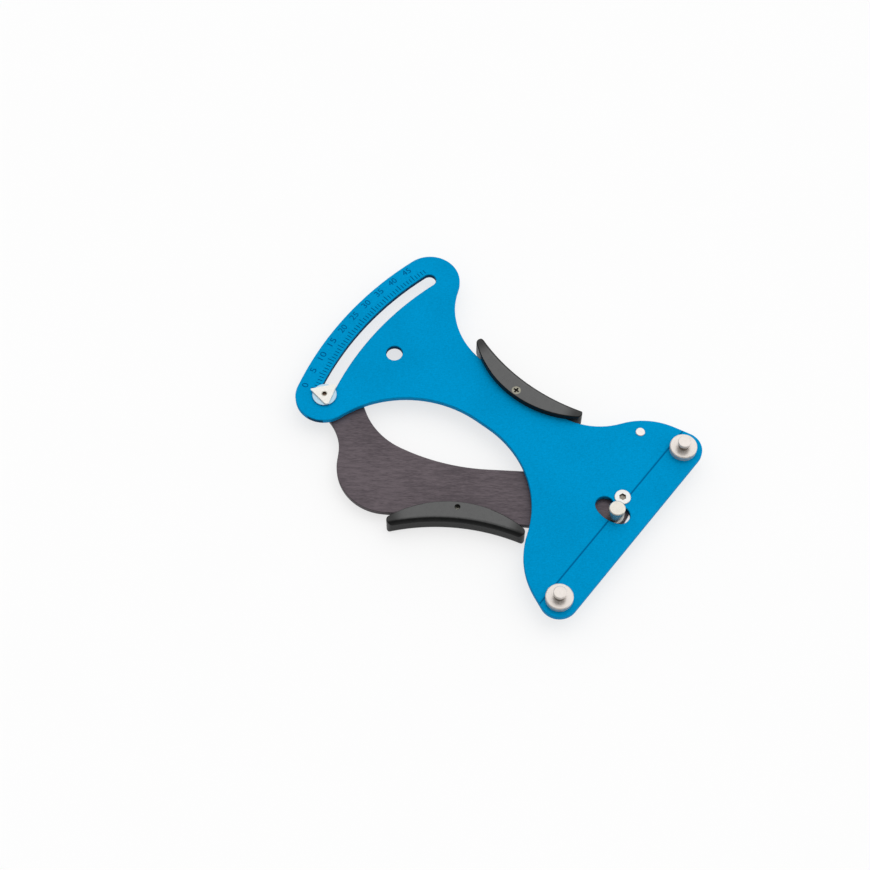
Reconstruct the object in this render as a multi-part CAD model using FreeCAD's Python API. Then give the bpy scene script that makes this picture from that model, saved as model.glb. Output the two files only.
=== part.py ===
import FreeCAD, Part
import math
import os

from FreeCAD import Vector

# Spoke tension meter. All sizes are in millimetres and degrees.
# Working frame: the pivot's axis is Z through the origin, the plate's front face is z = 0,
# +X runs along the two fixed posts and +Y points from the foot to the scale. The finished
# parts are moved so that the origin is under the middle of the meter, on its lowest face.

# ---- plates ----------------------------------------------------------------------------------
PLATE_T = 3.0                # front plate's thickness
LEVER_T = 3.0                # lever's thickness
PLATE_GAP = 0.5              # between the plate's back and the lever's front
EDGE_BREAK = 0.3             # chamfer on the plates' edges
FIT = 0.05                   # radial clearance of a shaft in its hole
FACE_GAP = 0.05              # between faces that slide past each other

# ---- pointer's arc and travel ----------------------------------------------------------------
SLOT_R = 161.7               # from the pivot to the middle of the arc slot
SLOT_W = 7.1                 # slot's width
HEAD_RIM = 15.1              # from the middle of the slot to the scale head's edge
LOBE_LEFT_R = 14.8           # scale head's round ends
LOBE_RIGHT_R = 15.8
ZERO_ANGLE = 107.0           # direction of the pointer at zero, from +X
TRAVEL = 31.9                # lever's full turn, clockwise seen from the front

# ---- foot and posts --------------------------------------------------------------------------
POST_SPACING = 105.4         # between the fixed posts
POST_LEFT = 64.1             # from the pivot to the left post, along the foot
POST_DROP = 8.0              # from the pivot's line down to the posts' line
CORNER_R = 9.8               # foot's corners, round the posts
FLANK_LEFT = (-31.2, -14.8, 42.6)    # round shoulder of the foot: x, y, radius
FLANK_RIGHT = (14.0, -4.5, 35.8)

# ---- waist -----------------------------------------------------------------------------------
WAIST_LEFT = -9.8            # x of the waist's left side
WAIST_RIGHT_FOOT = 18.2      # x of the waist's right side, at its foot
WAIST_RIGHT_TOP = 19.6       # and at its top
BLEND_LEFT_TOP = 58.2        # hollow between the waist and the scale head
BLEND_LEFT_FOOT = 55.9       # hollow between the waist and the foot
BLEND_RIGHT_TOP = 42.8
BLEND_RIGHT_FOOT = 35.9
HANG_HOLE_R = 4.3
HANG_HOLE_X = -5.2
HANG_HOLE_DROP = 19.3        # from the middle of the slot down to the hang hole

# ---- scale -----------------------------------------------------------------------------------
UNITS = 49                   # last mark of the scale
UNIT_ANGLE = 0.645           # degrees of lever turn for one unit
SCALE_ZERO = 106.34          # direction of the zero mark, from +X
LONG_EVERY = 5
TICK_START = 1.05            # from the slot's edge to the marks
TICK_SHORT = 2.6
TICK_LONG = 3.6
TICK_W = 0.38
MARK_DEPTH = 0.12
SPOKE_LINE_Y = -2.1          # engraved line along the spoke
SPOKE_LINE_W = 0.55

# ---- fixed posts -----------------------------------------------------------------------------
SHOULDER_R = 6.9
SHOULDER_H = 3.2
SHOULDER_BEVEL = 0.4
NECK_R = 2.5                 # where the spoke bears
PIN_HEAD_R = 3.3
PIN_HEAD_H = 1.5
PIN_TOP = 8.0                # post's top above the plate
PIN_BEVEL = 0.3
POST_THREAD_R = 3.0
WASHER_R = 6.0
WASHER_T = 0.8
POST_NUT_FLATS = 10.0
POST_NUT_H = 3.2
THREAD_PROUD = 0.6           # thread standing out of a nut

# ---- moving post -----------------------------------------------------------------------------
MOVING_X = -9.6
MOVING_Y = -3.0
MOVING_R = 4.1
MOVING_TOP = 7.0
MOVING_BEVEL = 0.4
SPIGOT_R = 2.6
SPIGOT_SHORT = 0.2           # spigot ends this far inside the lever's back
MOVING_SCREW_R = 1.5
MOVING_SCREW_DEPTH = 8.0
MOVING_SCREW_HEAD_R = 2.8
MOVING_SCREW_HEAD_H = 1.7
WINDOW_SIDE = 0.65           # window's clearance beside the moving post
WINDOW_END = 2.85            # and beyond it at both ends of its travel

# ---- pivot -----------------------------------------------------------------------------------
BOLT_R = 2.5
BOLT_HEAD_R = 4.1
BOLT_HEAD_H = 0.6
BOLT_HEAD_BEVEL = 0.2
BOLT_SOCKET_FLATS = 3.3
BOLT_SOCKET_DEPTH = 1.1
BOLT_SOCKET_TURN = 38.0      # direction of one of the socket's corners, from +X
BOLT_THREAD_R = 2.0
BOLT_THREAD_LENGTH = 3.5
SPACER_R = 4.0
BUSHING_R = 3.5
PIVOT_WASHER_R = 4.5
PIVOT_NUT_FLATS = 7.0
PIVOT_NUT_H = 2.6

# ---- lever -----------------------------------------------------------------------------------
POST_BOSS_R = 4.9            # lever's end round the moving post
TAIL = (12.0, -0.5, 4.2)     # lever's tail round the spring stud: x, y, radius
INNER_LOW = (60.0, 124.8, 107.0)     # long hollow of the inner edge
INNER_HIGH = (-8.5, 113.0, 37.5)     # short hollow under the pointer's end
NECK_ROUND = (-43.6, 140.6, 7.0)     # lever's round shoulder behind the scale head
POINTER_BOSS_R = 6.5
OUTER_HOLLOW = (-81.7, 151.7, 26.9)
BELLY = (-57.5, 104.3, 26.2)
HEEL = (-32.0, 31.0, 8.5)

# ---- grips -----------------------------------------------------------------------------------
GRIP_LENGTH = 69.2
GRIP_FRONT = 3.0             # from the screw to the convex edge, on the plate
GRIP_BACK = 7.7              # from the screw to the hollow edge, in the hand
GRIP_CONVEX_R = 56.0
GRIP_END_R = 2.5
GRIP_FLANGE = 3.7            # height above and below the plate it straddles
GRIP_ROUND = 0.5
PALM_ROUND = 2.5             # round of the edges that the hand closes on
GRIP_WEB = 3.0               # wall between the lever's seat and the hand
SCREW_INSET = 4.3            # from the waist's side to the plate grip's screw
PLATE_GRIP_Y = 77.9
PLATE_GRIP_TURN = 87.5       # direction of the grip's length, from +X
LEVER_GRIP_TURN = -57.5
LEVER_GRIP_END = (-36.85, 32.3)      # lower end of the lever's grip, clear of the foot

# ---- grip screws -----------------------------------------------------------------------------
GRIP_SCREW_R = 1.45
GRIP_SCREW_HEAD_R = 2.35
GRIP_SCREW_SINK = 0.1        # head lies this far under the grip's face
GRIP_SCREW_SHORT = 2.8       # tip ends this far inside the far face
CROSS_W = 0.7
CROSS_L = 2.8
CROSS_DEPTH = 1.2

# ---- pointer ---------------------------------------------------------------------------------
GUIDE_R = 3.4                # guide's barrel in the slot
GUIDE_FLANGE_R = 5.5
DISC_R = 6.2
DISC_T = 0.8
DISC_GAP = 0.1               # disc runs this far above the plate
POINTER_T = 1.0
POINTER_TIP = (7.7, 0.0, 0.25)       # corner: reach from the screw, turn from the tip, round
POINTER_LEFT = (6.0, 126.0, 1.4)
POINTER_RIGHT = (7.7, -115.6, 1.05)
POINTER_SCREW_R = 1.5
POINTER_SOCKET_FLATS = 2.2
POINTER_SOCKET_DEPTH = 1.3
POINTER_NUT_FLATS = 5.5
POINTER_NUT_H = 2.4

# ---- spring ----------------------------------------------------------------------------------
ANCHOR_X = 35.9
ANCHOR_Y = 14.6
ANCHOR_HEAD_R = 2.4
ANCHOR_HEAD_H = 0.4
STUD_SHANK_R = 1.9
STUD_COLLAR_R = 2.2
STUD_NECK_R = 1.3
STUD_HEAD_H = 0.7
STUD_NECK_H = 1.2
STUD_COLLAR_H = 0.4          # least collar, behind the lever
WIRE_R = 0.4
COIL_R = 2.1                 # to the middle of the wire
HOOK_PLAY = 0.1              # between a hook and its stud
LONG_HOOK = 7.5              # from the lever's stud to the first turn
SHORT_HOOK = 4.5             # from the last turn to the plate's stud

# ---- heights and places worked out from the sizes above --------------------------------------
PLATE_BACK = -PLATE_T
LEVER_FRONT = PLATE_BACK - PLATE_GAP
LEVER_BACK = LEVER_FRONT - LEVER_T
PLATE_MIDDLE = -PLATE_T / 2
LEVER_MIDDLE = (LEVER_FRONT + LEVER_BACK) / 2
POST_RIGHT = POST_SPACING - POST_LEFT
HANG_HOLE_Y = SLOT_R - HANG_HOLE_DROP
PLATE_GRIP_X = (WAIST_RIGHT_FOOT + WAIST_RIGHT_TOP) / 2 - SCREW_INSET
PIVOT_WASHER_TOP = LEVER_BACK - 2 * FACE_GAP
STUD_NECK_Z = LEVER_BACK - STUD_COLLAR_H - STUD_NECK_H / 2
DISC_BOTTOM = DISC_GAP
POINTER_BOTTOM = DISC_BOTTOM + DISC_T
POINTER_TOP = POINTER_BOTTOM + POINTER_T


def turned(radius, angle):
    """Point at a radius and a direction from the pivot."""
    return (radius * math.cos(math.radians(angle)), radius * math.sin(math.radians(angle)))


POINTER_PLACE = turned(SLOT_R, ZERO_ANGLE)
GRIP_HALF = turned(GRIP_LENGTH / 2, LEVER_GRIP_TURN)
LEVER_GRIP_X = LEVER_GRIP_END[0] - GRIP_HALF[0]
LEVER_GRIP_Y = LEVER_GRIP_END[1] - GRIP_HALF[1]


# ---- outlines --------------------------------------------------------------------------------
def common_tangent(first, second):
    """Ends of the tangent from one circle to the next, with the material on its left.

    A circle is (x, y, radius), and a hollow in the outline has a negative radius."""
    along = Vector(second[0] - first[0], second[1] - first[1], 0)
    slope = (first[2] - second[2]) / along.Length
    along.normalize()
    outward = along * slope + Vector(along.y, -along.x, 0) * math.sqrt(max(0.0, 1 - slope**2))
    leave = Vector(first[0], first[1], 0) + outward * first[2]
    arrive = Vector(second[0], second[1], 0) + outward * second[2]
    return leave, arrive


def arc_between(circle, start, end):
    """Arc of a circle, anticlockwise on a round corner and clockwise in a hollow."""
    from_angle = math.atan2(start.y - circle[1], start.x - circle[0])
    to_angle = math.atan2(end.y - circle[1], end.x - circle[0])
    sense = math.copysign(1, circle[2])
    sweep = (sense * (to_angle - from_angle)) % (2 * math.pi)
    middle_angle = from_angle + sense * sweep / 2
    radius = abs(circle[2])
    middle = Vector(circle[0] + radius * math.cos(middle_angle),
                    circle[1] + radius * math.sin(middle_angle), 0)
    return Part.Arc(start, middle, end).toShape()


def outline(circles):
    """Closed outline that runs round a list of circles, anticlockwise, by common tangents."""
    touching = 1e-3
    tangents = []
    for index, circle in enumerate(circles):
        leave, arrive = common_tangent(circle, circles[(index + 1) % len(circles)])
        if leave.distanceToPoint(arrive) < touching:
            arrive = leave
        tangents.append((leave, arrive))
    edges = []
    for index, circle in enumerate(circles):
        start = tangents[index - 1][1]
        leave, arrive = tangents[index]
        edges.append(arc_between(circle, start, leave))
        if arrive is not leave:
            edges.append(Part.LineSegment(leave, arrive).toShape())
    return Part.Wire(edges)


def slab(wire, bottom, top):
    """Flat piece with this outline between two heights."""
    face = Part.Face(wire)
    face.translate(Vector(0, 0, bottom))
    return face.extrude(Vector(0, 0, top - bottom))


def cylinder(radius, bottom, top, x=0.0, y=0.0):
    return Part.makeCylinder(radius, top - bottom, Vector(x, y, bottom))


def cone(bottom_radius, top_radius, bottom, top, x=0.0, y=0.0):
    return Part.makeCone(bottom_radius, top_radius, top - bottom, Vector(x, y, bottom))


def fuse(shapes):
    return shapes[0].fuse(shapes[1:]).removeSplitter()


def bevelled_cylinder(radius, bottom, top, bevel, x=0.0, y=0.0):
    """Cylinder with a bevel round its upper edge."""
    straight = cylinder(radius, bottom, top - bevel, x, y)
    return fuse([straight, cone(radius, radius - bevel, top - bevel, top, x, y)])


def ring(outer_radius, inner_radius, bottom, top, x=0.0, y=0.0):
    return cylinder(outer_radius, bottom, top, x, y).cut(cylinder(inner_radius, bottom, top, x, y))


def hexagon(flats, bottom, top, x=0.0, y=0.0):
    corner = flats / math.sqrt(3)
    points = []
    for step in range(7):
        turn = math.radians(60 * step)
        points.append(Vector(x + corner * math.cos(turn), y + corner * math.sin(turn), 0))
    return slab(Part.makePolygon(points), bottom, top)


def nut(flats, thread, bottom, top, x=0.0, y=0.0):
    """Hexagon nut for a thread radius, with its corners rounded off on the lower face."""
    corner = flats / math.sqrt(3)
    lead = corner - flats / 2
    blank = cylinder(corner, bottom + lead, top, x, y)
    blank = blank.fuse(cone(corner - lead, corner, bottom, bottom + lead, x, y))
    body = hexagon(flats, bottom, top, x, y).common(blank)
    return body.cut(cylinder(thread + FIT, bottom, top, x, y)).removeSplitter()


def flat_edges(shape, heights):
    """Edges that lie level at one of these heights."""
    level = 1e-4
    found = []
    for edge in shape.Edges:
        box = edge.BoundBox
        for height in heights:
            if abs(box.ZMin - height) < level and abs(box.ZMax - height) < level:
                found.append(edge)
    return found


# ---- front plate -----------------------------------------------------------------------------
def waist_blend(side, blend, circle, upward):
    """Hollow of radius blend between the waist's upright side and a round part of the plate."""
    outside = math.copysign(1, side)
    centre_x = side + outside * blend
    reach = blend + circle[2]
    rise = math.sqrt(reach**2 - (circle[0] - centre_x)**2)
    centre_y = circle[1] + (rise if upward else -rise)
    return (centre_x, centre_y, -blend)


def plate_outline():
    head = SLOT_R + HEAD_RIM
    lobe_left = turned(head - LOBE_LEFT_R, ZERO_ANGLE) + (LOBE_LEFT_R,)
    lobe_right = turned(head - LOBE_RIGHT_R, ZERO_ANGLE - TRAVEL) + (LOBE_RIGHT_R,)
    return outline([
        (-POST_LEFT, -POST_DROP, CORNER_R),
        (POST_RIGHT, -POST_DROP, CORNER_R),
        FLANK_RIGHT,
        waist_blend(WAIST_RIGHT_FOOT, BLEND_RIGHT_FOOT, FLANK_RIGHT, upward=True),
        waist_blend(WAIST_RIGHT_TOP, BLEND_RIGHT_TOP, lobe_right, upward=False),
        lobe_right,
        (0.0, 0.0, head),
        lobe_left,
        waist_blend(WAIST_LEFT, BLEND_LEFT_TOP, lobe_left, upward=False),
        waist_blend(WAIST_LEFT, BLEND_LEFT_FOOT, FLANK_LEFT, upward=True),
        FLANK_LEFT,
    ])


def arc_slot(radius, half, first_angle, last_angle):
    """Round-ended slot through the plate, round the pivot from one direction back to another."""
    middle_angle = (first_angle + last_angle) / 2
    outer = radius + half
    inner = radius - half

    def point(reach, angle):
        return Vector(*turned(reach, angle), 0)

    def cap(angle, towards):
        """Middle of the slot's round end at this direction."""
        return point(radius, angle) + point(half, angle + towards * 90)

    edges = [
        Part.Arc(point(outer, last_angle), point(outer, middle_angle), point(outer, first_angle)),
        Part.Arc(point(outer, first_angle), cap(first_angle, 1), point(inner, first_angle)),
        Part.Arc(point(inner, first_angle), point(inner, middle_angle), point(inner, last_angle)),
        Part.Arc(point(inner, last_angle), cap(last_angle, -1), point(outer, last_angle)),
    ]
    return slab(Part.Wire([edge.toShape() for edge in edges]), PLATE_BACK, 0)


def pointer_slot():
    return arc_slot(SLOT_R, SLOT_W / 2, ZERO_ANGLE, ZERO_ANGLE - TRAVEL)


def post_window():
    """Slot that the moving post reaches through, as long as its travel."""
    arm = math.hypot(MOVING_X, MOVING_Y)
    rest_angle = math.degrees(math.atan2(MOVING_Y, MOVING_X))
    spare = math.degrees((WINDOW_END - WINDOW_SIDE) / arm)
    return arc_slot(arm, MOVING_R + WINDOW_SIDE, rest_angle + spare, rest_angle - TRAVEL - spare)


def scale_marks():
    """Grooves of the scale's marks, in units of the reading."""
    start = SLOT_R + SLOT_W / 2 + TICK_START
    marks = []
    for unit in range(UNITS + 1):
        length = TICK_SHORT if unit % LONG_EVERY else TICK_LONG
        mark = Part.makeBox(length, TICK_W, MARK_DEPTH, Vector(start, -TICK_W / 2, -MARK_DEPTH))
        mark.rotate(Vector(0, 0, 0), Vector(0, 0, 1), SCALE_ZERO - unit * UNIT_ANGLE)
        marks.append(mark)
    return marks


def spoke_line():
    """Groove across the foot that shows where the spoke lies."""
    left = -POST_LEFT - CORNER_R
    right = POST_RIGHT + CORNER_R
    corner = Vector(left, SPOKE_LINE_Y - SPOKE_LINE_W / 2, -MARK_DEPTH)
    return Part.makeBox(right - left, SPOKE_LINE_W, MARK_DEPTH, corner)


def front_plate():
    body = slab(plate_outline(), PLATE_BACK, 0)
    hang_hole = cylinder(HANG_HOLE_R, PLATE_BACK, 0, HANG_HOLE_X, HANG_HOLE_Y)
    body = body.cut([pointer_slot(), post_window(), hang_hole])
    body = body.makeChamfer(EDGE_BREAK, flat_edges(body, (0, PLATE_BACK)))
    holes = [
        cylinder(BOLT_R + FIT, PLATE_BACK, 0),
        cylinder(STUD_SHANK_R + FIT, PLATE_BACK, 0, ANCHOR_X, ANCHOR_Y),
        cylinder(GRIP_SCREW_R + FIT, PLATE_BACK, 0, PLATE_GRIP_X, PLATE_GRIP_Y),
    ]
    for post_x in (-POST_LEFT, POST_RIGHT):
        holes.append(cylinder(POST_THREAD_R + FIT, PLATE_BACK, 0, post_x, -POST_DROP))
    return body.cut(holes).cut(scale_marks() + [spoke_line()])


# ---- fixed posts -----------------------------------------------------------------------------
def fixed_post(x):
    y = -POST_DROP
    end = PLATE_BACK - WASHER_T - POST_NUT_H - THREAD_PROUD
    return fuse([
        cylinder(POST_THREAD_R, end, 0, x, y),
        bevelled_cylinder(SHOULDER_R, 0, SHOULDER_H, SHOULDER_BEVEL, x, y),
        cylinder(NECK_R, SHOULDER_H, PIN_TOP - PIN_HEAD_H, x, y),
        bevelled_cylinder(PIN_HEAD_R, PIN_TOP - PIN_HEAD_H, PIN_TOP, PIN_BEVEL, x, y),
    ])


def at_both_posts(make):
    return Part.makeCompound([make(-POST_LEFT), make(POST_RIGHT)])


def post_washer(x):
    return ring(WASHER_R, POST_THREAD_R + FIT, PLATE_BACK - WASHER_T, PLATE_BACK, x, -POST_DROP)


def post_nut(x):
    top = PLATE_BACK - WASHER_T
    return nut(POST_NUT_FLATS, POST_THREAD_R, top - POST_NUT_H, top, x, -POST_DROP)


# ---- pivot -----------------------------------------------------------------------------------
def pivot_bolt():
    head = bevelled_cylinder(BOLT_HEAD_R, 0, BOLT_HEAD_H, BOLT_HEAD_BEVEL)
    shank = cylinder(BOLT_R, PIVOT_WASHER_TOP, 0)
    thread = cylinder(BOLT_THREAD_R, PIVOT_WASHER_TOP - BOLT_THREAD_LENGTH, PIVOT_WASHER_TOP)
    socket = hexagon(BOLT_SOCKET_FLATS, BOLT_HEAD_H - BOLT_SOCKET_DEPTH, BOLT_HEAD_H)
    socket.rotate(Vector(0, 0, 0), Vector(0, 0, 1), BOLT_SOCKET_TURN)
    return fuse([head, shank, thread]).cut(socket)


def pivot_spacer():
    return ring(SPACER_R, BOLT_R + FIT, LEVER_FRONT + FACE_GAP, PLATE_BACK)


def lever_bushing():
    return ring(BUSHING_R, BOLT_R + FIT, LEVER_BACK, LEVER_FRONT)


def pivot_washer():
    return ring(PIVOT_WASHER_R, BOLT_THREAD_R + FIT, PIVOT_WASHER_TOP - WASHER_T, PIVOT_WASHER_TOP)


def pivot_nut():
    top = PIVOT_WASHER_TOP - WASHER_T
    return nut(PIVOT_NUT_FLATS, BOLT_THREAD_R, top - PIVOT_NUT_H, top)


# ---- lever -----------------------------------------------------------------------------------
def grip_end():
    """Middle of a grip's round end, tangent to its convex edge."""
    end_x = GRIP_LENGTH / 2 - GRIP_END_R
    end_y = GRIP_FRONT - GRIP_CONVEX_R + math.sqrt((GRIP_CONVEX_R - GRIP_END_R)**2 - end_x**2)
    return end_x, end_y


def hand_curve_radius():
    """Radius of a grip's hollow edge, which just meets the round ends."""
    end_x, end_y = grip_end()
    drop = end_y + GRIP_BACK
    return (end_x**2 + drop**2 - GRIP_END_R**2) / (2 * (GRIP_END_R - drop))


def grip_seat():
    """Hollow in the lever's edge that leaves an even wall in the grip round it."""
    direction = math.radians(LEVER_GRIP_TURN + 90)
    reach = GRIP_BACK + hand_curve_radius()
    centre_x = LEVER_GRIP_X - reach * math.cos(direction)
    centre_y = LEVER_GRIP_Y - reach * math.sin(direction)
    return (centre_x, centre_y, -(hand_curve_radius() + GRIP_WEB))


def hollow(circle):
    return (circle[0], circle[1], -circle[2])


def lever_outline():
    return outline([
        (MOVING_X, MOVING_Y, POST_BOSS_R),
        TAIL,
        hollow(INNER_LOW),
        hollow(INNER_HIGH),
        NECK_ROUND,
        POINTER_PLACE + (POINTER_BOSS_R,),
        hollow(OUTER_HOLLOW),
        BELLY,
        grip_seat(),
        HEEL,
    ])


def lever_plate():
    body = slab(lever_outline(), LEVER_BACK, LEVER_FRONT)
    body = body.makeChamfer(EDGE_BREAK, flat_edges(body, (LEVER_FRONT, LEVER_BACK)))
    holes = [
        cylinder(BUSHING_R + FIT, LEVER_BACK, LEVER_FRONT),
        cylinder(SPIGOT_R + FIT, LEVER_BACK, LEVER_FRONT, MOVING_X, MOVING_Y),
        cylinder(STUD_SHANK_R + FIT, LEVER_BACK, LEVER_FRONT, TAIL[0], TAIL[1]),
        cylinder(POINTER_SCREW_R + FIT, LEVER_BACK, LEVER_FRONT, *POINTER_PLACE),
        cylinder(GRIP_SCREW_R + FIT, LEVER_BACK, LEVER_FRONT, LEVER_GRIP_X, LEVER_GRIP_Y),
    ]
    return body.cut(holes)


def moving_post():
    post = bevelled_cylinder(MOVING_R, LEVER_FRONT, MOVING_TOP, MOVING_BEVEL, MOVING_X, MOVING_Y)
    spigot_end = LEVER_BACK + SPIGOT_SHORT
    spigot = cylinder(SPIGOT_R, spigot_end, LEVER_FRONT, MOVING_X, MOVING_Y)
    bore = cylinder(MOVING_SCREW_R, spigot_end, LEVER_BACK + MOVING_SCREW_DEPTH, MOVING_X, MOVING_Y)
    return fuse([post, spigot]).cut(bore)


def moving_post_screw():
    head_bottom = LEVER_BACK - MOVING_SCREW_HEAD_H
    tip = LEVER_BACK + MOVING_SCREW_DEPTH - THREAD_PROUD
    body = fuse([
        cylinder(MOVING_SCREW_HEAD_R, head_bottom, LEVER_BACK, MOVING_X, MOVING_Y),
        cylinder(MOVING_SCREW_R - FIT, LEVER_BACK, tip, MOVING_X, MOVING_Y),
    ])
    return body.cut(cross_recess(MOVING_X, MOVING_Y, head_bottom, 1))


# ---- grips -----------------------------------------------------------------------------------
def cross_recess(x, y, face, inward):
    """Cross-shaped recess cut into a screw's head from its face; inward is +1 or -1 along Z."""
    bottom = min(face, face + inward * CROSS_DEPTH)
    bars = []
    for length, width in ((CROSS_L, CROSS_W), (CROSS_W, CROSS_L)):
        corner = Vector(x - length / 2, y - width / 2, bottom)
        bars.append(Part.makeBox(length, width, CROSS_DEPTH, corner))
    return bars[0].fuse(bars[1])


def grip_outline():
    """Crescent round its screw: length along X, the plate's side towards +Y."""
    end_x, end_y = grip_end()
    hand_r = hand_curve_radius()
    return outline([
        (end_x, end_y, GRIP_END_R),
        (0.0, GRIP_FRONT - GRIP_CONVEX_R, GRIP_CONVEX_R),
        (-end_x, end_y, GRIP_END_R),
        (0.0, -GRIP_BACK - hand_r, -hand_r),
    ])


def palm_side(face):
    """Ring about the hollow edge's centre, with its two inner edges rounded for the palm."""
    hand_r = hand_curve_radius()
    whole = ring(hand_r + GRIP_LENGTH, hand_r, -face, face, 0, -GRIP_BACK - hand_r)
    longest = 2 * math.pi * (hand_r + PALM_ROUND)
    inner = [edge for edge in flat_edges(whole, (-face, face)) if edge.Length < longest]
    return whole.makeFillet(PALM_ROUND, inner)


def grip_blank(thickness):
    """Grip before its slot is cut, with its screw on the Z axis and its middle at z = 0."""
    face = thickness / 2 + GRIP_FLANGE
    head = GRIP_SCREW_HEAD_R + FIT
    hole = GRIP_SCREW_R + FIT
    head_top = face - GRIP_SCREW_SINK
    body = slab(grip_outline(), -face, face)
    body = body.makeFillet(GRIP_ROUND, flat_edges(body, (-face, face)))
    body = body.common(palm_side(face))
    return body.cut([
        cylinder(hole, -face, face),
        cone(hole, head, head_top - (head - hole), head_top),
        cylinder(head, head_top, face),
    ])


def placed(shape, x, y, z, turn):
    shape.rotate(Vector(0, 0, 0), Vector(0, 0, 1), turn)
    shape.translate(Vector(x, y, z))
    return shape


def plate_grip():
    grip = placed(grip_blank(PLATE_T), PLATE_GRIP_X, PLATE_GRIP_Y, PLATE_MIDDLE, PLATE_GRIP_TURN)
    return grip.cut(slab(plate_outline(), PLATE_BACK, 0))


def lever_grip():
    grip = grip_blank(LEVER_T)
    grip.rotate(Vector(0, 0, 0), Vector(0, 1, 0), 180)
    grip = placed(grip, LEVER_GRIP_X, LEVER_GRIP_Y, LEVER_MIDDLE, LEVER_GRIP_TURN)
    return grip.cut(slab(lever_outline(), LEVER_BACK, LEVER_FRONT))


def grip_screw(x, y, middle, thickness, facing):
    """Countersunk screw whose head faces +Z or -Z, for a grip on a plate of this thickness."""
    face = thickness / 2 + GRIP_FLANGE
    head_top = face - GRIP_SCREW_SINK
    head_depth = GRIP_SCREW_HEAD_R - GRIP_SCREW_R
    tip = -face + GRIP_SCREW_SHORT
    body = fuse([
        cylinder(GRIP_SCREW_R, tip, head_top - head_depth),
        cone(GRIP_SCREW_R, GRIP_SCREW_HEAD_R, head_top - head_depth, head_top),
    ])
    body = body.cut(cross_recess(0, 0, head_top, -1))
    if facing < 0:
        body.rotate(Vector(0, 0, 0), Vector(0, 1, 0), 180)
    body.translate(Vector(x, y, middle))
    return body


def plate_grip_screw():
    return grip_screw(PLATE_GRIP_X, PLATE_GRIP_Y, PLATE_MIDDLE, PLATE_T, 1)


def lever_grip_screw():
    return grip_screw(LEVER_GRIP_X, LEVER_GRIP_Y, LEVER_MIDDLE, LEVER_T, -1)


# ---- pointer ---------------------------------------------------------------------------------
def pointer_bushing():
    flange = cylinder(GUIDE_FLANGE_R, LEVER_FRONT, PLATE_BACK - FACE_GAP, *POINTER_PLACE)
    barrel = cylinder(GUIDE_R, LEVER_FRONT, DISC_BOTTOM, *POINTER_PLACE)
    bore = cylinder(POINTER_SCREW_R + FIT, LEVER_FRONT, DISC_BOTTOM, *POINTER_PLACE)
    return fuse([flange, barrel]).cut(bore)


def pointer_disc():
    return ring(DISC_R, POINTER_SCREW_R + FIT, DISC_BOTTOM, POINTER_BOTTOM, *POINTER_PLACE)


def pointer():
    def corner(reach, turn, round_r):
        x, y = turned(reach - round_r, ZERO_ANGLE + turn)
        return (POINTER_PLACE[0] + x, POINTER_PLACE[1] + y, round_r)

    wire = outline([
        corner(*POINTER_TIP),
        corner(*POINTER_LEFT),
        corner(*POINTER_RIGHT),
    ])
    hole = cylinder(POINTER_SCREW_R + FIT, POINTER_BOTTOM, POINTER_TOP, *POINTER_PLACE)
    return slab(wire, POINTER_BOTTOM, POINTER_TOP).cut(hole)


def pointer_screw():
    end = LEVER_BACK - POINTER_NUT_H - THREAD_PROUD
    socket = hexagon(POINTER_SOCKET_FLATS, POINTER_TOP - POINTER_SOCKET_DEPTH, POINTER_TOP,
                     *POINTER_PLACE)
    return cylinder(POINTER_SCREW_R, end, POINTER_TOP, *POINTER_PLACE).cut(socket)


def pointer_nut():
    return nut(POINTER_NUT_FLATS, POINTER_SCREW_R, LEVER_BACK - POINTER_NUT_H, LEVER_BACK, *POINTER_PLACE)


# ---- spring ----------------------------------------------------------------------------------
def hook_stud(x, y, seat):
    """Collar, neck and head of a stud behind a plate, for a spring's hook."""
    neck_top = STUD_NECK_Z + STUD_NECK_H / 2
    neck_bottom = STUD_NECK_Z - STUD_NECK_H / 2
    return [
        cylinder(STUD_COLLAR_R, neck_top, seat, x, y),
        cylinder(STUD_NECK_R, neck_bottom, neck_top, x, y),
        cylinder(STUD_COLLAR_R, neck_bottom - STUD_HEAD_H, neck_bottom, x, y),
    ]


def spring_anchor():
    head = bevelled_cylinder(ANCHOR_HEAD_R, 0, ANCHOR_HEAD_H, ANCHOR_HEAD_H / 2, ANCHOR_X, ANCHOR_Y)
    shank = cylinder(STUD_SHANK_R, PLATE_BACK, 0, ANCHOR_X, ANCHOR_Y)
    return fuse([head, shank] + hook_stud(ANCHOR_X, ANCHOR_Y, PLATE_BACK))


def spring_stud():
    shank = cylinder(STUD_SHANK_R, LEVER_BACK, LEVER_FRONT, TAIL[0], TAIL[1])
    return fuse([shank] + hook_stud(TAIL[0], TAIL[1], LEVER_BACK))


def coil_body(length):
    """Close-wound coil along +X as one turned solid, with a round ridge for each turn."""
    turns = round(length / (2 * WIRE_R))
    pitch = length / turns
    edges = [Part.LineSegment(Vector(0, 0, 0), Vector(length, 0, 0)),
             Part.LineSegment(Vector(length, 0, 0), Vector(length, COIL_R, 0))]
    for turn in reversed(range(turns)):
        start = Vector((turn + 1) * pitch, COIL_R, 0)
        crest = Vector((turn + 0.5) * pitch, COIL_R + WIRE_R, 0)
        edges.append(Part.Arc(start, crest, Vector(turn * pitch, COIL_R, 0)))
    edges.append(Part.LineSegment(Vector(0, COIL_R, 0), Vector(0, 0, 0)))
    profile = Part.Face(Part.Wire([edge.toShape() for edge in edges]))
    return profile.revolve(Vector(0, 0, 0), Vector(1, 0, 0), 360)


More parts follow.
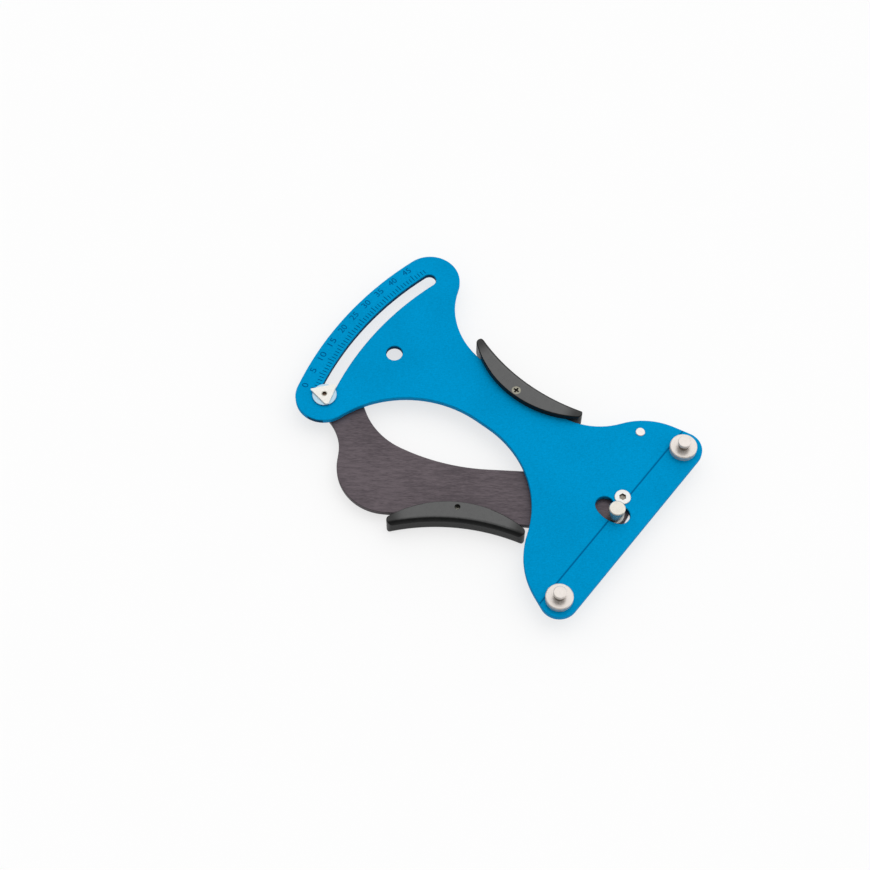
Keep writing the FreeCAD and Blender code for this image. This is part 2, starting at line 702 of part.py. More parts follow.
def return_spring():
    """Extension spring from the lever's stud to the plate's stud, with an eye at each end."""
    span_x = ANCHOR_X - TAIL[0]
    span_y = ANCHOR_Y - TAIL[1]
    span = math.hypot(span_x, span_y)
    eye_shift = COIL_R - WIRE_R - STUD_NECK_R - HOOK_PLAY
    coil = coil_body(span - LONG_HOOK - SHORT_HOOK)
    coil.translate(Vector(LONG_HOOK, 0, 0))
    first_eye = Part.makeTorus(COIL_R, WIRE_R, Vector(eye_shift, 0, 0))
    last_eye = Part.makeTorus(COIL_R, WIRE_R, Vector(span - eye_shift, 0, 0))
    wire_start = eye_shift + COIL_R
    wire = Part.makeCylinder(WIRE_R, span - 2 * wire_start, Vector(wire_start, 0, 0), Vector(1, 0, 0))
    spring = fuse([coil, first_eye, last_eye, wire])
    turn = math.degrees(math.atan2(span_y, span_x))
    return placed(spring, TAIL[0], TAIL[1], STUD_NECK_Z, turn)


# ---- the whole meter -------------------------------------------------------------------------
def all_parts():
    return {
        "front_plate": front_plate(),
        "fixed_post_left": fixed_post(-POST_LEFT),
        "fixed_post_right": fixed_post(POST_RIGHT),
        "post_washers": at_both_posts(post_washer),
        "post_nuts": at_both_posts(post_nut),
        "pivot_bolt": pivot_bolt(),
        "pivot_spacer": pivot_spacer(),
        "pivot_washer": pivot_washer(),
        "pivot_nut": pivot_nut(),
        "plate_grip": plate_grip(),
        "plate_grip_screw": plate_grip_screw(),
        "spring_anchor": spring_anchor(),
        "lever_plate": lever_plate(),
        "lever_bushing": lever_bushing(),
        "moving_post": moving_post(),
        "moving_post_screw": moving_post_screw(),
        "lever_grip": lever_grip(),
        "lever_grip_screw": lever_grip_screw(),
        "pointer_bushing": pointer_bushing(),
        "pointer_disc": pointer_disc(),
        "pointer": pointer(),
        "pointer_screw": pointer_screw(),
        "pointer_nut": pointer_nut(),
        "spring_stud": spring_stud(),
        "return_spring": return_spring(),
    }


def main():
    os.makedirs("parts", exist_ok=True)
    parts = all_parts()
    box = Part.makeCompound(list(parts.values())).optimalBoundingBox(False)
    middle_x = (box.XMin + box.XMax) / 2
    middle_y = (box.YMin + box.YMax) / 2
    for name, shape in parts.items():
        shape.translate(Vector(-middle_x, -middle_y, -box.ZMin))
        shape.exportStep("parts/" + name + ".step")
    print("pivot at", round(-middle_x, 4), round(-middle_y, 4), "plate face at", round(-box.ZMin, 4))
    print("size", round(box.XLength, 3), round(box.YLength, 3), round(box.ZLength, 3))


main()
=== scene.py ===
import math

import bpy
from mathutils import Matrix, Vector


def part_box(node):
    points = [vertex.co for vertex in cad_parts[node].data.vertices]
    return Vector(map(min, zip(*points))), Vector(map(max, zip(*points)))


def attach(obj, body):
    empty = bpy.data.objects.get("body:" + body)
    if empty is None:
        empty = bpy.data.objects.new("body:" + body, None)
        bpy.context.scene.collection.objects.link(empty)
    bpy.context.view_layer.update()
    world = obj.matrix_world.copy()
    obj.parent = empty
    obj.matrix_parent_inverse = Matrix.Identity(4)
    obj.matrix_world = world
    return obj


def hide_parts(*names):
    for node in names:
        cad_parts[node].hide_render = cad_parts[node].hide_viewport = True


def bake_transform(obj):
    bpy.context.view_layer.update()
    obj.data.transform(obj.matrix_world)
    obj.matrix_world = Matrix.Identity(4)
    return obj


# Looks of the spoke tension meter. Lengths are in metres, in the CAD's own frame: the meter lies
# on its back, with the plate's front face up and its scale at the +Y end.

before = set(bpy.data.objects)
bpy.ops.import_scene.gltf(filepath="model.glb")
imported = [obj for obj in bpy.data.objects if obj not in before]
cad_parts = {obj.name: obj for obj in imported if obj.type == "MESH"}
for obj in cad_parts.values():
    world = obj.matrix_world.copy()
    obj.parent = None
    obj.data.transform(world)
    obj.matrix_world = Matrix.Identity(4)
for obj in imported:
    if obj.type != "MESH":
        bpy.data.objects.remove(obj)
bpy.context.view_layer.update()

MM = 0.001
PIVOT = Vector((13.296, -79.5, 0.0)) * MM       # the lever's pivot, on the floor
FACE = 10.2 * MM                                # height of the plate's front face
SLOT_R = 161.7 * MM                             # from the pivot to the middle of the pointer's slot
SPOKE_LINE = PIVOT.y - 2.1 * MM                 # y of the engraved line along the spoke
HANG_HOLE = PIVOT.xy + Vector((-5.2, 142.4)) * MM
LOOK = Vector((0.3768, 0.2976, -0.8771)).normalized()       # from the camera into the picture
ACROSS = Vector((0.6198, -0.7847, 0.0))                     # to the right in the picture


# ---- node helpers ----------------------------------------------------------------------------
MIX_FACTOR, MIX_FIRST, MIX_SECOND = 0, 6, 7     # inputs of a Mix node that mixes colours
MIX_COLOUR = 2                                  # and its output
NOISE_SPAN = (0.3, 0.7)                         # where nearly all values of a noise lie
NOISE_MIDDLE = 0.5


def tint(red, green, blue):
    """Linear colour from the 0 to 255 values that a screen shows."""
    values = []
    for value in (red / 255, green / 255, blue / 255):
        values.append(value / 12.92 if value <= 0.04045 else ((value + 0.055) / 1.055) ** 2.4)
    return (*values, 1.0)


def node(tree, kind, inputs=None, **settings):
    """New shader node; an input is a plain value or another node's socket."""
    made = tree.nodes.new("ShaderNode" + kind)
    for name, value in settings.items():
        setattr(made, name, value)
    for key, value in (inputs or {}).items():
        if isinstance(value, bpy.types.NodeSocket):
            tree.links.new(value, made.inputs[key])
        else:
            made.inputs[key].default_value = value
    return made


def maths(tree, operation, first, second=0.0, third=0.0):
    return node(tree, "Math", {0: first, 1: second, 2: third}, operation=operation).outputs[0]


def plus(tree, first, second):
    return maths(tree, "ADD", first, second)


def times(tree, first, second):
    return maths(tree, "MULTIPLY", first, second)


def apart(tree, first, second):
    """How far two values are apart."""
    return maths(tree, "ABSOLUTE", maths(tree, "SUBTRACT", first, second))


def shared(tree, first, second, share):
    """Two values added up, the first by its share and the second by the rest."""
    return plus(tree, times(tree, first, share), times(tree, second, 1 - share))


def vector_maths(tree, operation, *vectors, output="Vector"):
    inputs = dict(enumerate(vectors))
    return node(tree, "VectorMath", inputs, operation=operation).outputs[output]


def remap(tree, value, low, high, to_low=0.0, to_high=1.0):
    """Smooth step from to_low to to_high as value goes from low to high."""
    inputs = {
        "Value": value, "From Min": low, "From Max": high, "To Min": to_low, "To Max": to_high,
    }
    return node(tree, "MapRange", inputs, interpolation_type="SMOOTHSTEP").outputs["Result"]


def fade(tree, value, low, high, start=1.0):
    """Smooth step down from start to 0 as value goes from low to high."""
    return remap(tree, value, low, high, start, 0.0)


def vary(tree, value, low=0.0, high=1.0):
    """A noise's values, drawn out to run from low to high."""
    return remap(tree, value, *NOISE_SPAN, low, high)


def mix(tree, factor, first, second):
    """Colour between two others."""
    inputs = {MIX_FACTOR: factor, MIX_FIRST: first, MIX_SECOND: second}
    return node(tree, "Mix", inputs, data_type="RGBA").outputs[MIX_COLOUR]


def shade(tree, colour, factor):
    """Colour times a grey factor."""
    grey = node(tree, "CombineColor", {"Red": factor, "Green": factor, "Blue": factor}).outputs[0]
    inputs = {MIX_FIRST: colour, MIX_SECOND: grey, MIX_FACTOR: 1.0}
    made = node(tree, "Mix", inputs, data_type="RGBA", blend_type="MULTIPLY")
    return made.outputs[MIX_COLOUR]


def place(tree):
    """Position on the piece, in the frame's metres."""
    return node(tree, "TexCoord").outputs["Object"]


def upward(tree):
    """How far the surface faces up: 1 on a level face, 0 on a wall, -1 on the underside."""
    normal = node(tree, "TexCoord").outputs["Normal"]
    return node(tree, "SeparateXYZ", {0: normal}).outputs["Z"]


def levelness(tree, low, high):
    """0 on a wall and 1 on a level face, front or underside; low and high are of upward's size."""
    return remap(tree, maths(tree, "ABSOLUTE", upward(tree)), low, high)


def nearest_axis(tree, where, axes):
    """Distance from the nearest of some upright axes."""
    nearest = None
    for x, y in axes:
        offset = vector_maths(tree, "SUBTRACT", where, (x, y, 0.0))
        flat = vector_maths(tree, "MULTIPLY", offset, (1.0, 1.0, 0.0))
        radius = vector_maths(tree, "LENGTH", flat, output="Value")
        nearest = radius if nearest is None else maths(tree, "MINIMUM", nearest, radius)
    return nearest


def noise(tree, vector, size, detail=2.0, rough=0.5):
    """Noise from 0 to 1 whose blotches are about size metres across."""
    inputs = {"Vector": vector, "Scale": 1 / size, "Detail": detail, "Roughness": rough}
    return node(tree, "TexNoise", inputs).outputs["Fac"]


def streaks(tree, vector, angle, length, width):
    """Noise drawn out along one direction in the plate's plane, at an angle in degrees."""
    inputs = {
        "Vector": vector,
        "Rotation": (0.0, 0.0, math.radians(angle)),
        "Scale": (length, width, width),
    }
    drawn = node(tree, "Mapping", inputs, vector_type="TEXTURE").outputs[0]
    return noise(tree, drawn, size=1.0, detail=3.0)


def bump(tree, height, depth, strength):
    """Surface normal for a height from 0 to 1 that is depth metres deep."""
    inputs = {"Height": height, "Distance": depth, "Strength": strength}
    return node(tree, "Bump", inputs).outputs[0]


def start_material(name, **constants):
    """New material with a Principled shader; returns it with its node tree and shader."""
    material = bpy.data.materials.new(name)
    material.use_nodes = True
    shader = material.node_tree.nodes["Principled BSDF"]
    for key, value in constants.items():
        shader.inputs[key.replace("_", " ")].default_value = value
    return material, material.node_tree, shader


def connect(tree, shader, **sockets):
    for key, socket in sockets.items():
        tree.links.new(socket, shader.inputs[key.replace("_", " ")])


# ---- places ----------------------------------------------------------------------------------
def middle(name):
    """x and y of the middle of a CAD node."""
    low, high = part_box(name)
    return ((low.x + high.x) / 2, (low.y + high.y) / 2)


def top(name):
    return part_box(name)[1].z


# ---- materials -------------------------------------------------------------------------------
WALL_TO_LEVEL = (0.35, 0.85)                # of levelness, across a plate's rounded edge
FRONT_ONLY = (0.85, 0.95)                   # of upward, up to a face that looks straight up
ANODISED_BLUE = {"Metallic": 0.3, "Specular_IOR_Level": 0.0}
PLATE_BLUE = tint(0, 140, 193)
OUTER_WALL_BLUE = tint(14, 132, 184)
# darker blue painted as shade on the walls of the slot, the hang hole and the post's window
SHADED_BORE_WALL_BLUE = tint(4, 62, 94)
SCALE_MARK_BLUE = tint(0, 66, 114)
SPOKE_LINE_BLUE = tint(0, 98, 148)
SLOT_WALL = (4.0 * MM, 4.4 * MM)            # off the slot's middle, where the painted shade on its walls ends
BORE_WALL = (9 * MM, 11 * MM)               # off the middle of the hang hole or the post's window, where the painted shade on their walls ends
MARK_FLOOR = (FACE - 0.06 * MM, FACE - 0.04 * MM)       # heights, between a mark's floor and FACE
HALO = (0.25 * MM, 0.75 * MM)               # off the spoke line, where its soft edge fades
HALO_STRENGTH = 0.55
FOOT_TO_SCALE = (PIVOT.y + 50 * MM, PIVOT.y + 100 * MM)     # y, between the line and the scale


def blue_anodising():
    """Matt blue plate: fine mottled grain, its own blues on the outer cut edges and engraved marks,
    and painted shade on the walls of the slot, the hang hole and the post's window.
    """
    material, tree, shader = start_material("blue_anodising", **ANODISED_BLUE)
    where = place(tree)
    parts = node(tree, "SeparateXYZ", {0: where}).outputs

    grain = noise(tree, where, size=0.8 * MM, detail=3.0, rough=0.6)
    brushing = streaks(tree, where, angle=-51.7, length=2.4 * MM, width=0.35 * MM)
    cloud = noise(tree, where, size=28 * MM, detail=1.0)
    spread = shared(tree, grain, brushing, share=0.6)
    value = plus(tree, vary(tree, spread, 0.87, 1.13), vary(tree, cloud, -0.03, 0.03))
    face = shade(tree, PLATE_BLUE, value)

    # Painted shade: the walls of the slot, the hang hole and the post's window fade to a darker
    # blue.
    off_slot = apart(tree, nearest_axis(tree, where, [PIVOT.xy]), SLOT_R)
    off_bores = nearest_axis(tree, where, [HANG_HOLE, middle("moving_post")])
    bore_shade = maths(
        tree, "MAXIMUM", fade(tree, off_slot, *SLOT_WALL), fade(tree, off_bores, *BORE_WALL))
    wall = mix(tree, bore_shade, OUTER_WALL_BLUE, SHADED_BORE_WALL_BLUE)
    edged = mix(tree, levelness(tree, *WALL_TO_LEVEL), wall, face)

    flat = remap(tree, upward(tree), *FRONT_ONLY)
    sunk = times(tree, flat, fade(tree, parts["Z"], *MARK_FLOOR))
    off_line = apart(tree, parts["Y"], SPOKE_LINE)
    beside = times(tree, flat, fade(tree, off_line, *HALO, start=HALO_STRENGTH))
    mark = mix(tree, remap(tree, parts["Y"], *FOOT_TO_SCALE), SPOKE_LINE_BLUE, SCALE_MARK_BLUE)
    colour = mix(tree, maths(tree, "MAXIMUM", sunk, beside), edged, mark)

    connect(tree, shader, Base_Color=colour, Roughness=vary(tree, grain, 0.46, 0.56),
            Normal=bump(tree, spread, depth=0.02 * MM, strength=0.5))
    return material


def engraving():
    """The numerals: the marks' darker blue, with the plate's grain in it."""
    material, tree, shader = start_material("engraving", **ANODISED_BLUE)
    grain = noise(tree, place(tree), size=0.3 * MM, detail=3.0)
    colour = mix(tree, vary(tree, grain), tint(0, 76, 124), tint(0, 94, 146))
    connect(tree, shader, Base_Color=colour, Roughness=vary(tree, grain, 0.5, 0.65))
    return material


CLOUD_SHARE = 0.25                          # of the slow drift in the lever's grey


def brushed_lever():
    """Dark purple-grey anodising over long brushing streaks."""
    material, tree, shader = start_material("brushed_lever", Metallic=0.35, Specular_IOR_Level=0.3)
    where = place(tree)
    fine = streaks(tree, where, angle=-53.0, length=2.4 * MM, width=0.24 * MM)
    broad = streaks(tree, where, angle=-53.0, length=6 * MM, width=1.0 * MM)
    cloud = noise(tree, where, size=30 * MM, detail=1.0)
    drift = times(tree, maths(tree, "SUBTRACT", cloud, NOISE_MIDDLE), CLOUD_SHARE)
    spread = plus(tree, shared(tree, fine, broad, share=0.6), drift)
    tone = remap(tree, spread, low=0.32, high=0.68)
    face = mix(tree, tone, tint(67, 59, 64), tint(99, 89, 94))
    colour = mix(tree, levelness(tree, *WALL_TO_LEVEL), tint(60, 53, 57), face)
    connect(tree, shader, Base_Color=colour, Roughness=vary(tree, fine, 0.4, 0.55),
            Normal=bump(tree, fine, depth=0.02 * MM, strength=0.5))
    return material


def moulded_grip():
    """Black moulded plastic, spark-eroded, with the middle of its level faces rubbed smooth."""
    material, tree, shader = start_material("moulded_grip")
    where = place(tree)
    pits = noise(tree, where, size=0.22 * MM, rough=0.7)
    flow = noise(tree, where, size=2.5 * MM, detail=3.0)
    colour = mix(tree, vary(tree, flow), tint(17, 18, 18), tint(22, 23, 22))
    rough = plus(tree, vary(tree, pits, 0.30, 0.40), vary(tree, flow, -0.05, 0.05))

    off_screw = nearest_axis(tree, where, [middle("plate_grip_screw"), middle("lever_grip_screw")])
    worn = remap(tree, off_screw, low=24 * MM, high=34 * MM, to_low=1.0, to_high=0.35)
    rubbed = times(tree, levelness(tree, low=0.85, high=0.98), worn)
    polish = remap(tree, rubbed, low=0.0, high=1.0, to_low=0.12, to_high=0.98)
    polish = times(tree, polish, vary(tree, flow, 0.93, 1.06))
    connect(tree, shader, Base_Color=colour, Roughness=rough, Specular_IOR_Level=polish,
            Normal=bump(tree, pits, depth=0.015 * MM, strength=0.6))
    return material


CROSS_EDGE = 0.15 * MM                      # width of the soft edge inside a cross


def cross_mark(tree, where, axis, half_width, half_length):
    """1 on a soft cross along X and Y round an upright axis: the mask of a painted shade cross."""
    offset = vector_maths(tree, "SUBTRACT", where, (*axis, 0.0))
    parts = node(tree, "SeparateXYZ", {0: vector_maths(tree, "ABSOLUTE", offset)}).outputs
    near = maths(tree, "MINIMUM", parts["X"], parts["Y"])
    far = maths(tree, "MAXIMUM", parts["X"], parts["Y"])
    return times(tree, fade(tree, near, half_width - CROSS_EDGE, half_width),
                 fade(tree, far, half_length - CROSS_EDGE, half_length))


RECESS_SIDE = 0.04 * MM                     # past a recess's reach, where its painted shade ends
RECESS_LIP = (0.12 * MM, 0.03 * MM)         # below the face, where it is full and where it ends
RECESS_FLOOR = 0.05 * MM                    # above the recess's depth, where it is full


def in_recess(tree, nearest, height, reach, face, depth):
    """1 in a driver's socket or round a waisted neck, out to reach from the axis and from just
    under the height of the face down to its depth, where shade is painted; 0 outside it."""
    inside = fade(tree, nearest, reach, reach + RECESS_SIDE)
    under = fade(tree, height, face - RECESS_LIP[0], face - RECESS_LIP[1])
    above = remap(tree, height, face - depth, face - depth + RECESS_FLOOR)
    return times(tree, times(tree, inside, under), above)


def turned_metal(name, light, dark, rough, axes, metallic=1.0, recess=None, cross=None, recess_shade=None):
    """Plated steel turned on a lathe, with rings round each axis given in the frame.

    Shade is painted into the recess and onto the cross, in the colour given for it; they hold what
    in_recess and cross_mark ask for."""
    material, tree, shader = start_material(name, Metallic=metallic)
    where = place(tree)
    nearest = nearest_axis(tree, where, axes)
    height = node(tree, "SeparateXYZ", {0: where}).outputs["Z"]
    turned = node(tree, "CombineXYZ", {"X": nearest, "Y": height}).outputs[0]
    rings = noise(tree, turned, size=0.4 * MM, rough=0.6)
    bloom = noise(tree, where, size=1.6 * MM)
    colour = mix(tree, vary(tree, shared(tree, rings, bloom, share=0.4)), dark, light)
    # Painted shade: the socket or neck, and the cross where one is given, are darkened to the
    # colour given for them.
    if recess:
        painted_shade = in_recess(tree, nearest, height, **recess)
        if cross:
            painted_shade = maths(tree, "MAXIMUM", painted_shade, cross_mark(tree, where, axes[0], **cross))
        colour = mix(tree, painted_shade, colour, recess_shade)
    connect(tree, shader, Base_Color=colour, Roughness=vary(tree, bloom, *rough),
            Normal=bump(tree, rings, depth=0.001 * MM, strength=0.3))
    return material


def mottled(name, light, dark, rough, size, depth, **constants):
    """Even fine mottle, for plating, drawn wire, plastic and paint."""
    material, tree, shader = start_material(name, **constants)
    mottle = noise(tree, place(tree), size, detail=3.0, rough=0.6)
    colour = mix(tree, vary(tree, mottle), dark, light)
    connect(tree, shader, Base_Color=colour, Roughness=vary(tree, mottle, *rough),
            Normal=bump(tree, mottle, depth, strength=0.5))
    return material


ZINC = {"light": tint(178, 177, 166), "dark": tint(150, 148, 136), "rough": (0.32, 0.42)}
METAL = {"Metallic": 1.0, "depth": 0.006 * MM}
PLASTIC = {"depth": 0.008 * MM}
finishes = {
    "blue": blue_anodising(),
    "lever": brushed_lever(),
    "grip": moulded_grip(),
    # Each recess below paints shade into a driver's socket or round the posts' waisted necks.
    "posts": turned_metal(
        "turned_nickel", light=tint(213, 206, 201), dark=tint(202, 195, 188), rough=(0.28, 0.38),
        axes=[middle("fixed_post_left"), middle("fixed_post_right")], metallic=0.6,
        recess={"reach": 2.6 * MM, "face": FACE + 6.7 * MM, "depth": 3.6 * MM},
        recess_shade=tint(126, 118, 110)),
    "moving": turned_metal(
        "turned_nickel_moving", light=tint(198, 194, 185), dark=tint(184, 180, 171),
        rough=(0.20, 0.30), axes=[middle("moving_post")], metallic=0.85),
    "bolt": turned_metal(
        "plated_bolt", light=tint(200, 200, 198), dark=tint(186, 185, 182), rough=(0.22, 0.32),
        axes=[middle("pivot_bolt")],
        recess={"reach": 2.2 * MM, "face": top("pivot_bolt"), "depth": 3 * MM},
        recess_shade=tint(118, 112, 103)),
    "studs": turned_metal(
        "turned_studs", light=tint(206, 199, 195), dark=tint(193, 185, 181), rough=(0.24, 0.34),
        axes=[middle("spring_anchor"), middle("spring_stud")]),
    "disc": turned_metal(
        "turned_disc", light=tint(166, 189, 202), dark=tint(150, 176, 191), rough=(0.30, 0.40),
        axes=[middle("pointer_disc")]),
    "screws": turned_metal(
        "zinc_screw", **ZINC, axes=[middle("lever_grip_screw"), middle("moving_post_screw")]),
    # Painted shade: a dark cross along X and Y on the grip screw's head, besides the shade in its
    # socket.
    "grip_screw": turned_metal(
        "zinc_grip_screw", light=tint(146, 144, 131), dark=tint(112, 110, 99), rough=(0.36, 0.46),
        axes=[middle("plate_grip_screw")],
        recess={"reach": 1.9 * MM, "face": top("plate_grip_screw"), "depth": 3 * MM},
        cross={"half_width": 0.55 * MM, "half_length": 1.65 * MM}, recess_shade=tint(58, 54, 50)),
    "pointer_screw": turned_metal(
        "zinc_pointer_screw", **ZINC, axes=[middle("pointer_screw")],
        recess={"reach": 1.36 * MM, "face": top("pointer_screw"), "depth": 3 * MM},
        recess_shade=tint(114, 97, 82)),
    "zinc": mottled(
        "zinc_plating", light=tint(196, 200, 202), dark=tint(166, 170, 172), rough=(0.30, 0.44),
        size=0.8 * MM, **METAL),
    "wire": mottled(
        "spring_wire", light=tint(186, 186, 184), dark=tint(150, 150, 148), rough=(0.24, 0.38),
        size=0.6 * MM, **METAL),
    "bronze": mottled(
        "bronze", light=tint(196, 160, 104), dark=tint(160, 124, 74), rough=(0.36, 0.50),
        size=0.5 * MM, **METAL),
    "nylon": mottled(
        "nylon", light=tint(226, 224, 214), dark=tint(214, 211, 199), rough=(0.40, 0.50),
        size=1.2 * MM, **PLASTIC),
    "pointer": mottled(
        "pointer_enamel", light=tint(240, 238, 231), dark=tint(232, 229, 221), rough=(0.30, 0.40),
        size=0.9 * MM, Specular_IOR_Level=0.8, **PLASTIC),
}
FINISH_OF = {
    "front_plate": "blue", "lever_plate": "lever", "plate_grip": "grip", "lever_grip": "grip",
    "fixed_post_left": "posts", "fixed_post_right": "posts", "moving_post": "moving",
    "pivot_bolt": "bolt", "spring_anchor": "studs", "spring_stud": "studs",
    "post_washers": "zinc", "post_nuts": "zinc", "pivot_washer": "zinc", "pivot_nut": "zinc",
    "pointer_nut": "zinc", "plate_grip_screw": "grip_screw", "lever_grip_screw": "screws",
    "moving_post_screw": "screws", "pointer_screw": "pointer_screw", "lever_bushing": "bronze",
    "pivot_spacer": "nylon", "pointer_bushing": "nylon", "pointer_disc": "disc",
    "pointer": "pointer", "return_spring": "wire",
}
for name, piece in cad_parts.items():
    for slot in piece.material_slots:
        slot.material = finishes[FINISH_OF[name]]


# ---- pieces ----------------------------------------------------------------------------------
def add_object(name, data):
    """New object in the scene, for a mesh, a camera or a lamp."""
    made = bpy.data.objects.new(name, data)
    bpy.context.collection.objects.link(made)
    return made


def mesh_of(curve):
    """Mesh of a curve or a text."""
    holder = bpy.data.objects.new(curve.name, curve)
    mesh = bpy.data.meshes.new_from_object(holder)
    bpy.data.objects.remove(holder)
    return mesh


# ---- scale numbers ---------------------------------------------------------------------------
SCALE_ZERO = 106.34          # direction of the zero mark from the pivot, in degrees
UNIT_ANGLE = 0.645           # degrees from one mark to the next
READINGS = range(0, 50, 5)
NUMBER_R = 173.4 * MM        # from the pivot to the middle of the numbers
NUMBER_LIFT = 0.01 * MM      # above the face, so that the two don't flicker through each other
DIGIT_HEIGHT = 3.3 * MM
DIGIT_WIDTH = 2.4 * MM


def number_mesh(text):
    """Flat mesh of a number, its middle at the origin, with digits of the scale's size."""
    curve = bpy.data.curves.new("number", "FONT")
    curve.body = text
    mesh = mesh_of(curve)
    xs = [vertex.co.x for vertex in mesh.vertices]
    ys = [vertex.co.y for vertex in mesh.vertices]
    wide = DIGIT_WIDTH * len(text) / (max(xs) - min(xs))
    high = DIGIT_HEIGHT / (max(ys) - min(ys))
    centre = Matrix.Translation((-(max(xs) + min(xs)) / 2, -(max(ys) + min(ys)) / 2, 0.0))
    mesh.transform(Matrix.Diagonal((wide, high, 1.0, 1.0)) @ centre)
    return mesh


def scale_numbers():
    """The numbers 0 to 45, upright as seen from the pivot, as one piece on the plate."""
    points, faces = [], []
    for reading in READINGS:
        turn = math.radians(SCALE_ZERO - UNIT_ANGLE * reading)
        centre = PIVOT + NUMBER_R * Vector((math.cos(turn), math.sin(turn), 0.0))
        centre.z = FACE + NUMBER_LIFT
        number = number_mesh(str(reading))
        number.transform(Matrix.Translation(centre) @ Matrix.Rotation(turn - math.pi / 2, 4, "Z"))
        first = len(points)
        points.extend(vertex.co.copy() for vertex in number.vertices)
        faces.extend([first + index for index in face.vertices] for face in number.polygons)
    mesh = bpy.data.meshes.new("scale_numbers")
    mesh.from_pydata(points, [], faces)
    mesh.materials.append(engraving())
    piece = add_object("scale_numbers", mesh)
    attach(piece, "plate")


scale_numbers()


# ---- return spring ---------------------------------------------------------------------------
STUD = PIVOT + Vector((12.0, -0.5, 2.7)) * MM        # middle of the lever stud's neck
ANCHOR = PIVOT + Vector((35.9, 14.6, 2.7)) * MM      # and of the plate stud's
SPAN = (ANCHOR - STUD).length
WIRE_R = 0.4 * MM
COIL_R = 2.1 * MM            # to the middle of the wire, in the coil and in the eyes
TURNS = 20
STEPS_A_TURN = 16
COIL_START = 7.5 * MM        # along the line from the lever's stud to the plate's
COIL_END = SPAN - 4.5 * MM
LONG_LEG = 4.6 * MM          # from a stud's middle to where the hook's leg ends
SHORT_LEG = 3.2 * MM
LEG_BEND = (0.7 * MM, 0.25 * MM)     # back from the leg's end and to its side, where it bends
RUN_OUT = 0.8 * MM           # along the line, while an end of the coil closes to the middle
EYE_SHIFT = 0.3 * MM         # the eyes sit off their studs' middles, towards the coil
EYE_ANGLES = range(40, 340, 12)      # round an eye, in degrees


def hook(leg):
    """Points of an eye round the origin and its leg, out along +X."""
    points = []
    for degrees in EYE_ANGLES:
        angle = math.radians(degrees)
        points.append(
            Vector((EYE_SHIFT + COIL_R * math.cos(angle), COIL_R * math.sin(angle), 0.0)))
    points.append(Vector((leg - LEG_BEND[0], -LEG_BEND[1], 0.0)))
    points.append(Vector((leg, 0.0, 0.0)))
    return points


def coil():
    """Points of the coil along +X, its two ends closing to the middle in half a turn."""
    points = []
    ease = STEPS_A_TURN // 2
    total = TURNS * STEPS_A_TURN
    for step in range(-ease, total + ease + 1):
        along = min(max(step, 0), total) / total
        over = max(-step, step - total, 0) / ease
        radius = COIL_R * math.cos(over * math.pi / 2)
        x = COIL_START + (COIL_END - COIL_START) * along
        x += math.copysign(RUN_OUT * over, step - total / 2)
        turn = 2 * math.pi * step / STEPS_A_TURN
        points.append(Vector((x, radius * math.cos(turn), radius * math.sin(turn))))
    return points


def wire_piece(name, line):
    """Wire round a line, which starts at the lever's stud and runs along +X to the plate's."""
    curve = bpy.data.curves.new(name, "CURVE")
    curve.dimensions = "3D"
    curve.bevel_depth = WIRE_R
    curve.bevel_resolution = 3
    curve.use_fill_caps = True
    spline = curve.splines.new("POLY")
    spline.points.add(len(line) - 1)
    for point, spot in zip(spline.points, line):
        point.co = (*spot, 1.0)
    mesh = mesh_of(curve)
    along = ANCHOR - STUD
    mesh.transform(
        Matrix.Translation(STUD) @ Matrix.Rotation(math.atan2(along.y, along.x), 4, "Z"))
    mesh.shade_smooth()
    mesh.materials.append(finishes["wire"])
    piece = add_object(name, mesh)
    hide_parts("return_spring")
    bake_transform(piece)


def return_spring():
    """Two pieces: the long hook on the lever's stud, and the coil with the plate's short hook."""
    wound = coil()
    short_hook = [Vector((SPAN - point.x, -point.y, point.z)) for point in hook(SHORT_LEG)]
    wire_piece("spring_hook", hook(LONG_LEG) + wound[:2])
    wire_piece("wound_spring", wound + short_hook[::-1])


return_spring()


# ---- camera ----------------------------------------------------------------------------------
CAMERA_AIM = PIVOT + Vector((-30.3, 95.6, 10.2)) * MM       # seen at the middle of the picture
CAMERA_AWAY = 0.9669                                        # from there to the camera


def photo_camera():
    """The photograph's view: 61.3 degrees above the floor."""
    right = ACROSS.normalized()
    turn = Matrix((right, right.cross(LOOK), -LOOK)).transposed().to_4x4()
    camera = add_object("camera", bpy.data.cameras.new("camera"))
    camera.matrix_world = Matrix.Translation(CAMERA_AIM - LOOK * CAMERA_AWAY) @ turn
    camera.data.lens = 78.62
    camera.data.sensor_width = 36.0
    camera.data.clip_start = 0.05
    camera.data.clip_end = 200.0
    bpy.context.scene.camera = camera


photo_camera()


# ---- floor and light -------------------------------------------------------------------------
FLOOR_HALF = 20.0            # half the floor's side
FLOOR_GLOW = 0.7             # share of plain white in the floor as it is seen
LIGHT_FROM = Vector((LOOK.x, LOOK.y, -LOOK.z))      # over the far side, as high as the camera
SUN_LEAN = 0.4               # of the lamp to the right, for each unit towards LIGHT_FROM
SKY_LEAN = 0.4               # of the sky's bright side, the same way


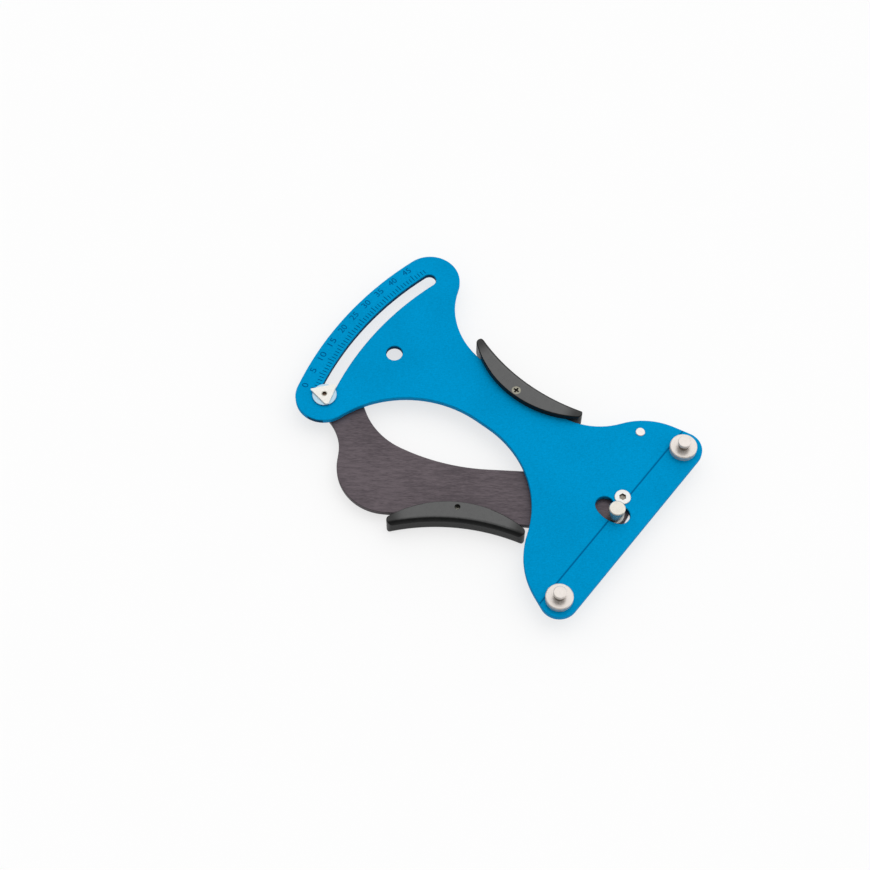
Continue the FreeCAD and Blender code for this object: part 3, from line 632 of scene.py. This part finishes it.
def pale_floor():
    """White table top, clear from below so that the underside can be looked at."""
    near, far = -FLOOR_HALF, FLOOR_HALF
    corners = [(near, near, 0), (far, near, 0), (far, far, 0), (near, far, 0)]
    mesh = bpy.data.meshes.new("floor")
    mesh.from_pydata(corners, [], [(0, 1, 2, 3)])
    material, tree, shader = start_material("floor", Specular_IOR_Level=0.0, Roughness=1.0)
    paper = noise(tree, place(tree), size=60 * MM)
    connect(tree, shader, Base_Color=mix(tree, paper, tint(248, 248, 248), tint(251, 251, 251)))
    path = node(tree, "LightPath").outputs
    seen = maths(tree, "MAXIMUM", path["Is Camera Ray"], path["Is Glossy Ray"])
    seen = maths(tree, "MAXIMUM", seen, path["Is Transmission Ray"])
    white = node(tree, "Emission", {"Strength": 1.0}).outputs[0]
    glow = times(tree, seen, FLOOR_GLOW)
    paled = node(tree, "MixShader", {0: glow, 1: shader.outputs[0], 2: white}).outputs[0]
    back = node(tree, "NewGeometry").outputs["Backfacing"]
    clear = node(tree, "BsdfTransparent").outputs[0]
    sides = node(tree, "MixShader", {0: back, 1: paled, 2: clear}).outputs[0]
    tree.links.new(sides, tree.nodes["Material Output"].inputs["Surface"])
    mesh.materials.append(material)
    floor = add_object("floor", mesh)


def soft_sun():
    """Main lamp, as wide as a large soft box, high behind the meter."""
    light = bpy.data.lights.new("soft_box", "SUN")
    light.energy = 0.4
    light.angle = math.radians(60)
    lamp = add_object("soft_box", light)
    lamp.rotation_mode = "QUATERNION"
    lamp.rotation_quaternion = (LIGHT_FROM + SUN_LEAN * ACROSS).to_track_quat("Z", "Y")


def light_tent():
    """World: bright above the back, dim above the front, and brighter to the right near the
    horizon. Its level runs from the horizon's to the sky's as a direction rises."""
    world = bpy.data.worlds.new("light_tent")
    world.use_nodes = True
    tree = world.node_tree
    direction = node(tree, "TexCoord").outputs["Generated"]
    height = node(tree, "SeparateXYZ", {0: direction}).outputs["Z"]
    level = Vector((LOOK.x, LOOK.y, 0.0)).normalized()
    behind = vector_maths(tree, "DOT_PRODUCT", direction, level, output="Value")
    across = vector_maths(tree, "DOT_PRODUCT", direction, ACROSS, output="Value")
    leaning = maths(tree, "MULTIPLY_ADD", across, SKY_LEAN, behind)
    sky = remap(tree, leaning, low=-0.5, high=0.35, to_low=0.5, to_high=1.2)
    horizon = remap(tree, across, low=-0.3, high=0.8, to_low=0.8, to_high=1.9)
    risen = remap(tree, height, low=0.1, high=0.3)
    strength = maths(tree, "MULTIPLY_ADD", risen, maths(tree, "SUBTRACT", sky, horizon), horizon)
    background = tree.nodes["Background"]
    background.inputs["Color"].default_value = (1.0, 1.0, 1.0, 1.0)
    tree.links.new(strength, background.inputs["Strength"])
    bpy.context.scene.world = world


pale_floor()
soft_sun()
light_tent()
bpy.context.scene.view_settings.view_transform = "Standard"
